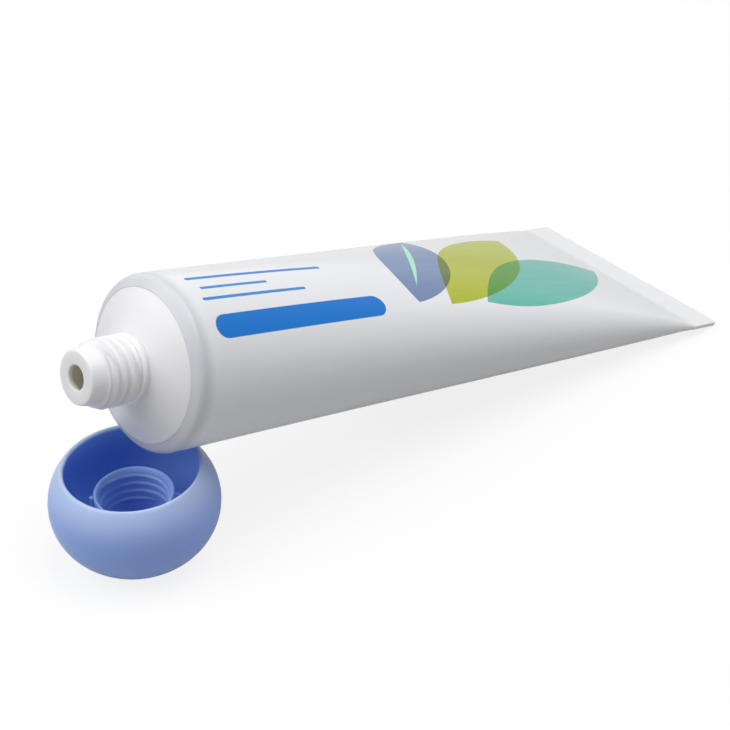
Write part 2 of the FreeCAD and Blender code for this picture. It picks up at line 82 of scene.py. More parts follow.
# %% Camera
camera_offset = (-191.87 * MM, -298.56 * MM, 295.26 * MM)
yaw, dip, roll = (math.radians(angle) for angle in (50.549, 35.972, 1.598))
camera = bpy.data.objects.new("camera", bpy.data.cameras.new("camera"))
bpy.context.scene.collection.objects.link(camera)
bpy.context.scene.camera = camera
forward = Vector((math.cos(dip) * math.cos(yaw), math.cos(dip) * math.sin(yaw), -math.sin(dip)))
right = Vector((math.sin(yaw), -math.cos(yaw), 0))
down = forward.cross(right)
right, down = (math.cos(roll) * right + math.sin(roll) * down,
               math.cos(roll) * down - math.sin(roll) * right)
camera.matrix_world = Matrix.Translation(
    Vector((shoulder_middle.x, 0, 0)) + Vector(camera_offset)) @ Matrix(
    (right, -down, -forward)).transposed().to_4x4()
camera.data.sensor_width = 36.0
camera.data.lens = 102.24
camera.data.clip_start = 0.01
print("lens %.1f mm" % camera.data.lens)

# %% [markdown]
# ## Modelling helpers
#
# A turned or moulded piece starts as an outline drawn in the plane of its axis: one vertex that is extruded
# from corner to corner.  Corners are rounded with a vertex bevel, and the outline is spun about the axis.

# %% Outline, rounded corners and spin
def deselect_all():
    """Leaves edit mode and empties the selection."""
    if bpy.context.object and bpy.context.object.mode == "EDIT":
        bpy.ops.object.mode_set(mode="OBJECT")
    bpy.ops.object.select_all(action="DESELECT")


def pick(active, *others):
    """Selects whole pieces, in object mode, and makes the first one active."""
    deselect_all()
    for piece in (active, *others):
        piece.select_set(True)
    bpy.context.view_layer.objects.active = active


def join_pieces(whole, *others):
    """Joins the others into the first piece, as one moulding."""
    pick(whole, *others)
    bpy.ops.object.join()


def select(piece, kind, wanted):
    """Selects just the vertices or edges for whose ends, in mm, wanted is true, and stays in edit mode."""
    bpy.ops.object.mode_set(mode="EDIT")
    bpy.ops.mesh.select_mode(type=kind)
    bpy.ops.mesh.select_all(action="DESELECT")
    bpy.ops.object.mode_set(mode="OBJECT")
    vertices = piece.data.vertices
    if kind == "VERT":
        elements = [(vertex, [vertex.co / MM]) for vertex in vertices]
    else:
        elements = [(edge, [vertices[index].co / MM for index in edge.vertices]) for edge in piece.data.edges]
    for element, ends in elements:
        element.select = wanted(*ends)
    bpy.ops.object.mode_set(mode="EDIT")


def add_vertex(place):
    """Adds an object that is one vertex, at a place in metres, and stays in edit mode."""
    deselect_all()
    bpy.ops.mesh.primitive_plane_add(size=MM)
    bpy.ops.object.mode_set(mode="EDIT")
    bpy.ops.mesh.select_mode(type="VERT")
    bpy.ops.mesh.select_all(action="SELECT")
    bpy.ops.mesh.merge(type="CENTER")
    bpy.ops.transform.translate(value=place)
    return bpy.context.object


def draw_outline(name, corners, closed=True):
    """Extrudes a single vertex through corners (radius, height in mm) in the XZ plane."""
    piece = add_vertex((corners[0][0] * MM, 0, corners[0][1] * MM))
    piece.name = piece.data.name = name
    for here, there in zip(corners, corners[1:]):
        step = ((there[0] - here[0]) * MM, 0, (there[1] - here[1]) * MM)
        bpy.ops.mesh.extrude_region_move(TRANSFORM_OT_translate={"value": step})
    if closed:
        ends = [Vector((radius, 0, height)) for radius, height in (corners[0], corners[-1])]
        select(piece, "VERT", lambda p: min((p - end).length for end in ends) < 0.001)
        bpy.ops.mesh.edge_face_add()
    return piece


def round_corner(piece, corner, width, segments=3):
    """Rounds one corner (radius, height in mm) of an outline."""
    place = Vector((corner[0], 0, corner[1]))
    select(piece, "VERT", lambda p: (p - place).length < 0.002)
    bpy.ops.mesh.bevel(offset=width * MM, segments=segments, affect="VERTICES", offset_type="OFFSET")


def face_outwards(piece):
    """Turns every face of a closed shell outwards: a shell that is inside out has a negative volume."""
    bpy.ops.object.mode_set(mode="EDIT")
    bpy.ops.mesh.select_all(action="SELECT")
    bpy.ops.mesh.normals_make_consistent(inside=False)
    shell = bmesh.from_edit_mesh(piece.data)
    if shell.calc_volume(signed=True) < 0:
        bpy.ops.mesh.flip_normals()
    bpy.ops.object.mode_set(mode="OBJECT")


def spin_outline(piece, steps=144):
    """Spins the outline about the Z axis and closes it."""
    bpy.ops.object.mode_set(mode="EDIT")
    bpy.ops.mesh.select_all(action="SELECT")
    bpy.ops.mesh.spin(steps=steps, angle=math.tau, center=(0, 0, 0), axis=(0, 0, 1))
    bpy.ops.mesh.select_all(action="SELECT")
    bpy.ops.mesh.remove_doubles(threshold=0.002 * MM)
    face_outwards(piece)


def put_in_place(piece, place, sharp=35):
    """Moves the mesh to its place, smooths it and lets it ride on the tube's one body."""
    pick(piece)
    bpy.ops.object.shade_smooth_by_angle(angle=math.radians(sharp))
    piece.matrix_world = place
    bpy.ops.object.transform_apply(location=True, rotation=True, scale=True)
    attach(piece, "root")
    print(piece.name, len(piece.data.vertices), "vertices")

# %% [markdown]
# ## Sleeve
#
# The sleeve is a piece of flat laminate, rolled into a 38 mm tube and pressed flat at the tail.  The laminate
# bends but does not stretch, so its girth is the same in every section: a circle at the round end, then ovals
# of four arcs, ever flatter, and two walls face to face at the seal.  Each oval is drawn by spinning a vertex
# about the centre of each arc in turn, and neighbouring ovals are bridged.

# %% Sizes of the sleeve, in mm
tube_radius = 19.0
laminate = 0.4
straight = 1.0  # round stretch before the taper
tail_seam = 140.0
seal_length = 8.0
side_steps, broad_steps = 42, 34  # edges in each side arc and each broad arc
shares = [step / 48 for step in range(48)]  # where the ovals lie on the way to the seal
edge_height, edge_radius = 6.3, 16.6  # where the rolled edge ends on the cone
edge_round, edge_turn = 2.0, math.radians(60)  # its bend
bend_radius = tube_radius - edge_round
bend_level = (edge_height - (tube_radius - edge_radius) / math.tan(edge_turn)
              - edge_round * math.tan(edge_turn / 2))
print("laminate %.1f mm wide when flat" % (math.pi * tube_radius))

# %% One oval ring
def oval(share):
    """Radius and half angle of the side arcs and radius of the broad arcs, a share of the way to the seal."""
    angle = math.radians(50 + 40 * share)
    side = tube_radius * (1 - share) ** 0.7
    broad = (tube_radius * math.pi / 2 - side * angle) / (math.pi / 2 - angle)
    return side, angle, broad


def draw_oval(share, depth):
    """A closed ring: four spins, each about the centre of its arc, at a depth in mm below the outside."""
    side, angle, broad = oval(share)
    level = -(straight + share * (tail_seam - straight)) * MM
    across, up = (broad - side) * math.cos(angle) * MM, (broad - side) * math.sin(angle) * MM
    ring = add_vertex(
        ((broad - depth) * math.cos(angle) * MM, -(side - depth) * math.sin(angle) * MM, level))
    broad_turn = math.pi - 2 * angle
    for centre, turn, steps in (((across, 0, level), 2 * angle, side_steps),
                                ((0, -up, level), broad_turn, broad_steps),
                                ((-across, 0, level), 2 * angle, side_steps),
                                ((0, up, level), broad_turn, broad_steps)):
        bpy.ops.mesh.spin(steps=steps, angle=turn, center=centre, axis=(0, 0, -1))
    bpy.ops.mesh.select_all(action="SELECT")
    bpy.ops.mesh.remove_doubles(threshold=0.01 * MM)
    bpy.ops.object.mode_set(mode="OBJECT")
    return ring


print("half way to the seal: side arcs of radius %.1f over %.2f rad, broad arcs of radius %.1f" % oval(0.5))

# %% [markdown]
# At the seal the wall is a thin rectangle.  It has as many edges in each side as the arc that runs into it,
# so the bridge from the last oval has one face to each edge.

# %% The flat loop, and the bridges
def draw_flat(half_width, half_thickness):
    """A thin rectangle at the seal, half_width across and half_thickness high from its middle, in mm."""
    deselect_all()
    bpy.ops.mesh.primitive_plane_add(size=2 * MM, location=(0, 0, -tail_seam * MM))
    loop = bpy.context.object
    bpy.ops.object.transform_apply(location=True)
    bpy.ops.object.mode_set(mode="EDIT")
    bpy.ops.mesh.select_all(action="SELECT")
    bpy.ops.transform.resize(value=(half_width, half_thickness, 1), center_override=(0, 0, 0))
    bpy.ops.mesh.delete(type="ONLY_FACE")
    select(loop, "EDGE", lambda a, b: abs(b.x - a.x) > half_width)
    bpy.ops.mesh.subdivide(number_cuts=broad_steps - 1)
    select(loop, "EDGE", lambda a, b: abs(b.y - a.y) > 0.001)
    bpy.ops.mesh.subdivide(number_cuts=side_steps - 1)
    bpy.ops.object.mode_set(mode="OBJECT")
    return loop


def pressed_wall(name, depth, wanted=shares, flat_loop=None):
    """The surface through the wanted ovals and, if its half sizes are given, to the flat loop; ends open."""
    rings = [draw_oval(share, depth) for share in wanted]
    if flat_loop:
        rings.append(draw_flat(*flat_loop))
    join_pieces(*rings)
    wall = rings[0]
    wall.name = wall.data.name = name
    bpy.ops.object.mode_set(mode="EDIT")
    bpy.ops.mesh.select_mode(type="EDGE")
    bpy.ops.mesh.select_all(action="SELECT")
    bpy.ops.mesh.bridge_edge_loops(type="SINGLE")
    bpy.ops.object.mode_set(mode="OBJECT")
    print(name, len(wall.data.vertices), "vertices,", len(wall.data.polygons), "faces")
    return wall


outside = pressed_wall("sleeve_skin", 0.0, flat_loop=(tube_radius * math.pi / 2, laminate))

# %% [markdown]
# The front edge of the sleeve is shrunk over the head's shoulder.  In section it is a round bend and then a
# straight slope down to the cone.  Both are made by extruding the open ring upwards and scaling it, step by
# step; the same steps, one laminate deeper, make the inside.

# %% Steps of the rolled edge
def rolled_edge(depth):
    """(radius, height) in mm of the rolled edge at a depth below the outside, from the wall to its end."""
    bend = edge_round - depth
    steps = [(bend_radius + bend * math.cos(turn), bend_level + bend * math.sin(turn))
             for turn in (edge_turn * step / 8 for step in range(9))]
    last = (edge_radius - depth * math.cos(edge_turn), edge_height - depth * math.sin(edge_turn))
    return steps + [(steps[-1][0] + (last[0] - steps[-1][0]) * step / 4,
                     steps[-1][1] + (last[1] - steps[-1][1]) * step / 4) for step in range(1, 5)]


def raise_ring(start_radius, steps, start_height=-straight):
    """Extrudes the selected ring through (radius, height) steps in mm and scales it at each."""
    radius, height = start_radius, start_height
    for next_radius, next_height in steps:
        bpy.ops.mesh.extrude_region_move(
            TRANSFORM_OT_translate={"value": (0, 0, (next_height - height) * MM)})
        factor = next_radius / radius
        bpy.ops.transform.resize(value=(factor, factor, 1), center_override=(0, 0, next_height * MM))
        radius, height = next_radius, next_height


def at_the_round_end(a, b):
    """True for an edge of the open ring at the round end."""
    return min(a.z, b.z) > -straight - 0.001


select(outside, "EDGE", at_the_round_end)
raise_ring(tube_radius, rolled_edge(0.0))
print("rolled edge bends at height %.2f" % bend_level,
      "and ends at radius %.2f, height %.2f" % rolled_edge(0.0)[-1])

# %% [markdown]
# The seal is the flat end of the wall, pulled on for 8 mm.  Its last steps narrow along a quarter circle.

# %% The heat seal
def pull_seal(piece, corner=0.8):
    """Extrudes the flat end of the wall and narrows the last steps, which rounds the seal's two corners."""
    select(piece, "EDGE", lambda a, b: max(a.z, b.z) < -tail_seam + 0.001)
    half_width = tube_radius * math.pi / 2
    turns = [math.radians(15 * step) for step in range(7)]
    steps = [(half_width, 1.0), (half_width, seal_length / 2)] + [
        (half_width - corner + corner * math.cos(turn), seal_length - corner + corner * math.sin(turn))
        for turn in turns]
    width, length = half_width, 0.0
    for next_width, next_length in steps:
        bpy.ops.mesh.extrude_region_move(
            TRANSFORM_OT_translate={"value": (0, 0, (length - next_length) * MM)})
        bpy.ops.transform.resize(value=(next_width / width, 1, 1), center_override=(0, 0, 0))
        width, length = next_width, next_length
    bpy.ops.object.mode_set(mode="OBJECT")


pull_seal(outside)
print("sleeve is %.1f mm long" % (outside.dimensions.z / MM))

# %% [markdown]
# The print follows the laminate, not the space round it, so the skin gets a UV map in which the laminate is
# rolled out flat again: U runs round it from the near crease and V along it, both in units of 100 mm.  U is
# measured along each ring, from vertex to vertex.

# %% Roll the laminate out into a UV map
uv_unit = 100.0


def roll_out(piece):
    """UV map of the outer skin: distance round the laminate and distance behind the shoulder's plane."""
    rings = {}
    for vertex in piece.data.vertices:
        rings.setdefault(round(vertex.co.z / MM, 3), []).append(vertex)
    flat, girths = {}, {}
    for height, ring in rings.items():
        quarters = {}
        for vertex in ring:
            x, y = round(vertex.co.x / MM, 3), round(vertex.co.y / MM, 3)
            quarter = (0 if x >= 0 else 1) if y >= 0 else (2 if x < 0 else 3)
            order = ((y, -x), (-y, -x), (-y, x), (y, x))[quarter]
            quarters.setdefault(quarter, []).append((order, vertex.index, vertex))
        walk = [vertex for quarter in range(4) for order, index, vertex in sorted(quarters[quarter])]
        gone = 0.0
        for here, there in zip(walk, walk[1:] + walk[:1]):
            flat[here.index] = (gone, -height)
            gone += (there.co - here.co).length / MM
        girths[height] = gone
    uv_map = piece.data.uv_layers.new(name="rolled_out")
    for face in piece.data.polygons:
        rounds = [flat[index][0] for index in face.vertices]
        crosses = max(rounds) - min(rounds) > tube_radius * math.pi
        for loop, index in zip(face.loop_indices, face.vertices):
            around, along = flat[index]
            if crosses and around < 10:
                around += girths[-along]
            uv_map.data[loop].uv = (around / uv_unit, along / uv_unit)
    print("rolled out", len(rings), "rings, girth %.1f to %.1f mm" % (
        min(girths.values()), max(girths.values())))


roll_out(outside)

# %% [markdown]
# The inside is the same wall again, one laminate deeper and turned inside out.  Its tail is closed where the
# seal begins, and at the front a narrow ring, the cut edge of the laminate, joins it to the outside.

# %% Inside wall, cut edge and closed tail
def on_the_cut_edge(a, b):
    """True for the edges of the two rings at which the laminate ends on the cone."""
    level = abs(a.z - b.z) < 0.001
    return level and all(
        p.z > edge_height - laminate and math.hypot(p.x, p.y) < edge_radius + 0.01 for p in (a, b))


inside = pressed_wall("sleeve_inside", laminate, flat_loop=((tube_radius - laminate) * math.pi / 2, 0.1))
select(inside, "EDGE", at_the_round_end)
raise_ring(tube_radius - laminate, rolled_edge(laminate))
select(inside, "EDGE", lambda a, b: max(a.z, b.z) < -tail_seam + 0.001)
bpy.ops.mesh.edge_face_add()
face_outwards(inside)
bpy.ops.object.mode_set(mode="EDIT")
bpy.ops.mesh.flip_normals()
bpy.ops.object.mode_set(mode="OBJECT")
pick(outside)
select(outside, "EDGE", lambda a, b: max(a.z, b.z) < -tail_seam - seal_length + 0.001)
bpy.ops.mesh.edge_face_add()
face_outwards(outside)
skin_faces = len(outside.data.polygons)
join_pieces(outside, inside)
sleeve = outside
sleeve.name = sleeve.data.name = "tube_sleeve"
select(sleeve, "EDGE", on_the_cut_edge)
bpy.ops.mesh.bridge_edge_loops()
bpy.ops.object.mode_set(mode="OBJECT")
print("sleeve:", skin_faces, "faces outside,", len(sleeve.data.polygons), "in all")

# %% [markdown]
# ## Head
#
# The head is one injection moulding: a shoulder cone with a skirt under the sleeve, a neck with a bead and a
# screw thread, and a slightly tapered nozzle.  All of it but the thread is round, so it is one outline, spun.
# Moulded corners are never sharp: each gets its small radius, which is what catches the light.

# %% Outline of the head
bond = 0.02
skirt_corners = [(17.5, -straight), (tube_radius - laminate - bond, -straight)]
cone_foot, cone_top = (16.54, 6.29), (7.85, 9.7)
groove_low, groove_high = (6.9, 9.7), (6.9, 10.7)
bead_low, bead_high = (7.45, 10.7), (7.45, 11.35)
neck_low, neck_high = (6.95, 11.35), (6.95, 19.1)
nozzle_low, nozzle_high = (6.35, 19.55), (5.8, nozzle_height)
orifice_high, orifice_low = (2.65, nozzle_height), (2.65, 21.5)
inside_corners = [(4.4, 21.5), (5.4, 9.36), (13.63, 6.17), (17.5, 3.93)]
head_corners = skirt_corners + rolled_edge(laminate + bond) + [
    cone_foot, cone_top, groove_low, groove_high, bead_low, bead_high, neck_low, neck_high,
    nozzle_low, nozzle_high, orifice_high, orifice_low] + inside_corners
moulded_radii = {
    cone_top: 0.3, groove_low: 0.2, groove_high: 0.2, bead_low: 0.2, bead_high: 0.2, neck_low: 0.15,
    neck_high: 0.15, nozzle_low: 0.15, nozzle_high: 0.45, orifice_high: 0.25, cone_foot: 0.08}
head = draw_outline("tube_head", head_corners)
for corner, width in moulded_radii.items():
    round_corner(head, corner, width)
spin_outline(head)
print("head:", len(head.data.vertices), "vertices before its thread")

# %% [markdown]
# A thread is a ridge of one small section wound round the neck.  The screw modifier winds it; its first and
# last stretch then sink into the wall, because a mould's thread always runs in and out.  The section is given
# as one flank, from the wall to the crest, and the other flank mirrors it.

# %% Wind a thread ridge
thread_pitch, thread_start = 2.1, math.radians(90)


def wind_ridge(name, flank, middle, turns, run_out):
    """A right-handed ridge that starts round the height middle, in mm, and winds downwards.

    Each flank point is (radius, distance from the middle); both ends fade over run_out degrees.
    """
    section = [(radius, middle - width) for radius, width in flank]
    section += [(radius, middle + width) for radius, width in reversed(flank) if width > 0]
    ridge = draw_outline(name, section)
    bpy.ops.object.mode_set(mode="OBJECT")
    winding = ridge.modifiers.new("winding", "SCREW")
    winding.axis = "Z"
    winding.angle = -math.tau * turns
    winding.screw_offset = -thread_pitch * turns * MM
    winding.steps = winding.render_steps = round(90 * turns)
    bpy.ops.object.modifier_apply(modifier="winding")
    count = len(section)
    steps = len(ridge.data.vertices) // count
    wall = flank[0][0] * MM
    for vertex in ridge.data.vertices:
        turned = (vertex.index // count) / (steps - 1) * turns * 360
        rise = min(1.0, turned / run_out, (turns * 360 - turned) / run_out)
        rise = rise * rise * (3 - 2 * rise)
        radius = math.hypot(vertex.co.x, vertex.co.y)
        factor = (wall + (radius - wall) * rise) / radius
        vertex.co.x *= factor
        vertex.co.y *= factor
    bpy.ops.object.mode_set(mode="EDIT")
    bpy.ops.mesh.select_all(action="SELECT")
    bpy.ops.mesh.fill_holes(sides=0)
    face_outwards(ridge)
    ridge.rotation_euler.z = thread_start
    bpy.ops.object.transform_apply(rotation=True)
    print(name, "wound in", steps, "steps")
    return ridge


neck_flank = ((6.75, 0.9), (6.93, 0.82), (7.06, 0.68), (7.3, 0.42), (7.4, 0.2))
neck_ridge = wind_ridge("neck_thread", neck_flank, middle=18.5, turns=3.3, run_out=70)
join_pieces(head, neck_ridge)

# %% [markdown]
# ## Cap
#
# The cap is a ball with a flat foot and an open mouth, moulded in one with the threaded collar that stands on
# its floor, the four ribs that stiffen the collar and the ring that closes on the nozzle.

# %% Arcs of the cap's section, in mm
def arc_points(centre, radius, first, last, count):
    """Points of an arc, angles in degrees, both ends included."""
    turns = [math.radians(first + (last - first) * i / count) for i in range(count + 1)]
    return [(centre[0] + radius * math.cos(turn), centre[1] + radius * math.sin(turn)) for turn in turns]


cap_radius, cap_height, waist, cap_wall, floor_level = 18.5, 21.7, 12.642, 1.5, 1.5
ball_radius, rim_round, foot_round = 13.836, 0.5, 1.5
ball_centre = (cap_radius - ball_radius, waist)
rim_height = cap_height - rim_round - waist
rim_centre = (
    ball_centre[0] + math.sqrt((ball_radius - rim_round) ** 2 - rim_height ** 2), waist + rim_height)
foot_centre = (ball_centre[0] + math.sqrt(
    (ball_radius - foot_round) ** 2 - (waist - foot_round) ** 2), foot_round)
inward = cap_radius - cap_wall - rim_centre[0]
throat_radius = (rim_height ** 2 + inward ** 2 - rim_round ** 2) / (2 * (inward + rim_round))
throat_centre = (cap_radius - cap_wall - throat_radius, waist)


def bearing(centre, point):
    """Angle in degrees at which a point is seen from a centre."""
    return math.degrees(math.atan2(point[1] - centre[1], point[0] - centre[0]))


foot_turn, rim_turn = bearing(ball_centre, foot_centre), bearing(ball_centre, rim_centre)
throat_turn = bearing(throat_centre, rim_centre)
basin_turn = -math.degrees(math.asin((waist - floor_level) / (ball_radius - cap_wall)))
print("ball, foot and rim meet at %.1f and %.1f degrees" % (foot_turn, rim_turn))

# %% [markdown]
# The outline runs from the middle of the foot up the outside, over the rim and down the inside, and then over
# the collar and the closing ring back to the axis.

# %% Outline of the cap
cap_corners = [(0, 0)]
cap_corners += arc_points(foot_centre, foot_round, -90, foot_turn, 5)
cap_corners += arc_points(ball_centre, ball_radius, foot_turn, rim_turn, 40)[1:]
cap_corners += arc_points(rim_centre, rim_round, rim_turn, 180 + throat_turn, 8)[1:]
cap_corners += arc_points(throat_centre, throat_radius, throat_turn, 0, 10)[1:]
cap_corners += arc_points(ball_centre, ball_radius - cap_wall, 0, basin_turn, 24)[1:]
collar_and_ring = [
    (8.7, floor_level), (8.7, 15.0), (8.2, 15.0), (7.55, 13.9), (7.55, floor_level),
    (4.4, floor_level), (4.4, 6.043), (3.2, 6.043), (3.2, floor_level)]
cap_corners += collar_and_ring + [(0, floor_level)]
collar_radii = (0.3, 0.24, 0.22, 0.4, 0.3, 0.3, 0.2, 0.2, 0.3)
cap = draw_outline("tube_cap", cap_corners, closed=False)
for corner, width in zip(collar_and_ring, collar_radii):
    round_corner(cap, corner, width)
spin_outline(cap, 180)
print("cap:", len(cap.data.vertices), "vertices before thread and ribs")

# %% [markdown]
# The collar's ridge is wound like the neck's, with its crest turned inwards.  Each of the four ribs is a
# small block against the collar, with its outer and upper edges bevelled; its foot and its back lie a little
# way inside the plastic.

# %% Thread and ribs of the collar
collar_flank = ((7.75, 0.62), (7.57, 0.55), (7.45, 0.42), (7.2, 0.16), (7.15, 0.0))
cap_ridge = wind_ridge("cap_thread", collar_flank, middle=13.8, turns=3.4, run_out=50)
rib_middle, rib_size = (8.95, 0.0, 7.65), (1.5, 1.0, 12.7)
deselect_all()
bpy.ops.mesh.primitive_cube_add(
    size=1, location=[value * MM for value in rib_middle], scale=[value * MM for value in rib_size])
rib = bpy.context.object
bpy.ops.object.transform_apply(location=True, rotation=True, scale=True)
select(rib, "EDGE", lambda a, b: min(a.x, b.x) > rib_middle[0] or min(a.z, b.z) > rib_middle[2])
bpy.ops.mesh.bevel(offset=0.25 * MM, segments=3)
bpy.ops.object.mode_set(mode="OBJECT")
ribs = [rib]
for quarter in (1, 2, 3):
    pick(rib)
    bpy.ops.object.duplicate()
    copy = bpy.context.object
    copy.rotation_euler.z = quarter * math.pi / 2
    bpy.ops.object.transform_apply(rotation=True)
    ribs.append(copy)
join_pieces(cap, cap_ridge, *ribs)
print("cap:", len(cap.data.vertices), "vertices with thread and ribs")

# %% [markdown]
# ## Paste
#
# The filling takes the sleeve's own pressed shape, a little smaller.  It is bridged in the same way, cut off
# before the walls close, and its front is domed as paste is when it has been squeezed forward.

# %% Paste
paste_depth = laminate + 0.35
paste_shares = [0.0025 + step * 0.0109 for step in range(51)]
paste = pressed_wall("paste_filling", paste_depth, wanted=paste_shares)
front_level = max(vertex.co.z for vertex in paste.data.vertices) / MM
tail_level = min(vertex.co.z for vertex in paste.data.vertices) / MM
select(paste, "EDGE", lambda a, b: max(a.z, b.z) < tail_level + 0.01)
bpy.ops.mesh.edge_face_add()
select(paste, "EDGE", lambda a, b: min(a.z, b.z) > front_level - 0.001)
paste_dome = ((17.9, -1.2), (17.2, -1.1), (12.0, -1.06), (6.0, -1.05))
raise_ring(tube_radius - paste_depth, paste_dome, front_level)
bpy.ops.mesh.edge_face_add()
face_outwards(paste)
print("paste:", len(paste.data.vertices), "vertices")

# %% [markdown]
# ## Materials
#
# Colours are written as sRGB hex values and turned to linear by one function; one small function adds a node.

# %% Colour and node helpers
def colour(hex_value):
    """Linear RGBA of an sRGB hex value."""
    channels = [int(hex_value[i:i + 2], 16) / 255 for i in (1, 3, 5)]
    return tuple(c / 12.92 if c <= 0.04045 else ((c + 0.055) / 1.055) ** 2.4 for c in channels) + (1.0,)


def add_node(tree, kind, settings=None, **inputs):
    """Adds a node, sets its properties, and sets or links its inputs by name or number (in0, in1)."""
    node = tree.nodes.new(kind)
    for name, value in (settings or {}).items():
        setattr(node, name, value)
    for name, value in inputs.items():
        by_number = name[:2] == "in" and name[2:].isdigit()
        socket = node.inputs[int(name[2:]) if by_number else name.replace("_", " ")]
        if isinstance(value, bpy.types.NodeSocket):
            tree.links.new(value, socket)
        else:
            socket.default_value = value
    return node


def maths_in(tree, operation, *values, clamp=False):
    """A Math node's result."""
    inputs = {"in%d" % number: value for number, value in enumerate(values)}
    return add_node(tree, "ShaderNodeMath", {"operation": operation, "use_clamp": clamp}, **inputs).outputs[0]


def new_material(name):
    """A material with only its output; returns the material and its tree."""
    material = bpy.data.materials.new(name)
    material.use_nodes = True
    tree = material.node_tree
    tree.nodes.clear()
    tree.nodes.new("ShaderNodeOutputMaterial")
    return material, tree


def finish_material(material, shader):
    """Links the shader to the material's output."""
    tree = material.node_tree
    tree.links.new(shader.outputs[0], tree.nodes["Material Output"].inputs["Surface"])
    print(material.name, "has", len(tree.nodes), "nodes")


def blend_colours(tree, share, first, second, blend="MIX"):
    """Goes from the first colour to the second with the share; each is hex, linear or a socket."""
    first, second = (colour(one) if isinstance(one, str) else one for one in (first, second))
    settings = {"data_type": "RGBA", "blend_type": blend}
    return add_node(tree, "ShaderNodeMix", settings, in0=share, in6=first, in7=second).outputs["Result"]


def smooth_share(tree, value, low, high, first=0.0, last=1.0):
    """Goes smoothly from first to last while the value goes from low to high."""
    return add_node(
        tree, "ShaderNodeMapRange", {"interpolation_type": "SMOOTHSTEP"}, Value=value,
        From_Min=low, From_Max=high, To_Min=first, To_Max=last).outputs["Result"]


def vector_maths(tree, operation, first, second=None):
    """A Vector Math node; its vector is output 0 and its number is the output named Value."""
    inputs = {"in0": first} if second is None else {"in0": first, "in1": second}
    return add_node(tree, "ShaderNodeVectorMath", {"operation": operation}, **inputs)


def scale_for(size):
    """The scale, on Object coordinates, of a pattern whose largest blotches are size mm wide."""
    return 1 / (size * MM)

# %% [markdown]
# ### Moulded polyethylene (head)
#
# Injection-moulded HDPE in white.  It is waxy: a broad soft sheen, light that soaks a little into thin edges,
# and a very fine texture left by the mould, drawn here at 0.6 mm so that it shows.  Down in the bore most of
# the light comes through the nozzle's wall, so there it soaks deeper, and the bore is painted a little warm:
# painted light, for the light that has come through the wall.

# %% White HDPE
bore_limit = 5.5  # a radius in mm that lies between the neck's inner and outer walls
face_depth = 0.4  # how far down from its end face the nozzle counts as outside
white_hdpe, tree = new_material("moulded_white_hdpe")
where = add_node(tree, "ShaderNodeTexCoord").outputs["Object"]
mottle = add_node(tree, "ShaderNodeTexNoise", Vector=where, Scale=scale_for(6.25), Detail=3.0, Roughness=0.5)
plain = blend_colours(tree, mottle.outputs["Fac"], "#F0F0F3", "#F5F5F8")
from_shoulder = vector_maths(tree, "SUBTRACT", where, tuple(shoulder_middle)).outputs[0]
height = vector_maths(tree, "DOT_PRODUCT", from_shoulder, tuple(tube_axis)).outputs["Value"]
off_axis = vector_maths(tree, "CROSS_PRODUCT", from_shoulder, tuple(tube_axis)).outputs[0]
from_axis = vector_maths(tree, "LENGTH", off_axis).outputs["Value"]
within = maths_in(tree, "LESS_THAN", from_axis, bore_limit * MM)
below_the_face = maths_in(tree, "LESS_THAN", height, (nozzle_height - face_depth) * MM)
in_bore = maths_in(tree, "MULTIPLY", within, below_the_face)
# painted light: the bore's plastic is tinted warm for the light that reaches it through the nozzle's wall
tint = blend_colours(tree, in_bore, plain, "#F6EFDE")
grain = add_node(tree, "ShaderNodeTexNoise", Vector=where, Scale=scale_for(0.625), Detail=2.0, Roughness=0.6)
dents = add_node(tree, "ShaderNodeBump", Strength=0.08, Distance=0.05 * MM, Height=grain.outputs["Fac"])
skin = add_node(
    tree, "ShaderNodeBsdfPrincipled", Base_Color=tint, Roughness=0.42, IOR=1.54,
    Subsurface_Weight=maths_in(tree, "ADD", maths_in(tree, "MULTIPLY", in_bore, 0.7), 0.3),
    Subsurface_Radius=(1.0, 1.0, 1.0),
    Subsurface_Scale=maths_in(tree, "ADD", maths_in(tree, "MULTIPLY", in_bore, 3.2 * MM), 0.8 * MM),
    Normal=dents.outputs["Normal"])
finish_material(white_hdpe, skin)

# %% [markdown]
# ### Coloured polypropylene (cap)
#
# Blue PP, moulded in a fine satin tool.  Light soaks through the wall.  The colour holds painted light and
# shade:
# it is painted paler towards the lip, for the light from above, and a more saturated blue in the bowl than
# outside, for the light that bounces about in it.  A point lies outside when it is far from the circle about
# which the ball's section is turned.  On the thin collar the light soaks less, which keeps its thread crisp.
# The satin grain is too fine to show in a render, so it is drawn at about 0.6 mm.

# %% Blue PP
collar_middle = 8.1  # radius in mm half way through the collar's wall
blue_pp, tree = new_material("moulded_blue_pp")
where = add_node(tree, "ShaderNodeTexCoord").outputs["Object"]
from_foot = vector_maths(tree, "SUBTRACT", where, tuple(cap_foot)).outputs[0]
flat_part = vector_maths(tree, "MULTIPLY", from_foot, (1, 1, 0)).outputs[0]
from_axis = vector_maths(tree, "LENGTH", flat_part).outputs["Value"]
level = add_node(tree, "ShaderNodeSeparateXYZ", Vector=from_foot).outputs["Z"]
circle_offset = add_node(
    tree, "ShaderNodeCombineXYZ", X=maths_in(tree, "SUBTRACT", from_axis, ball_centre[0] * MM),
    Y=maths_in(tree, "SUBTRACT", level, waist * MM)).outputs[0]
from_circle = vector_maths(tree, "LENGTH", circle_offset).outputs["Value"]
outside_share = smooth_share(tree, from_circle, 12.5 * MM, 13.7 * MM)
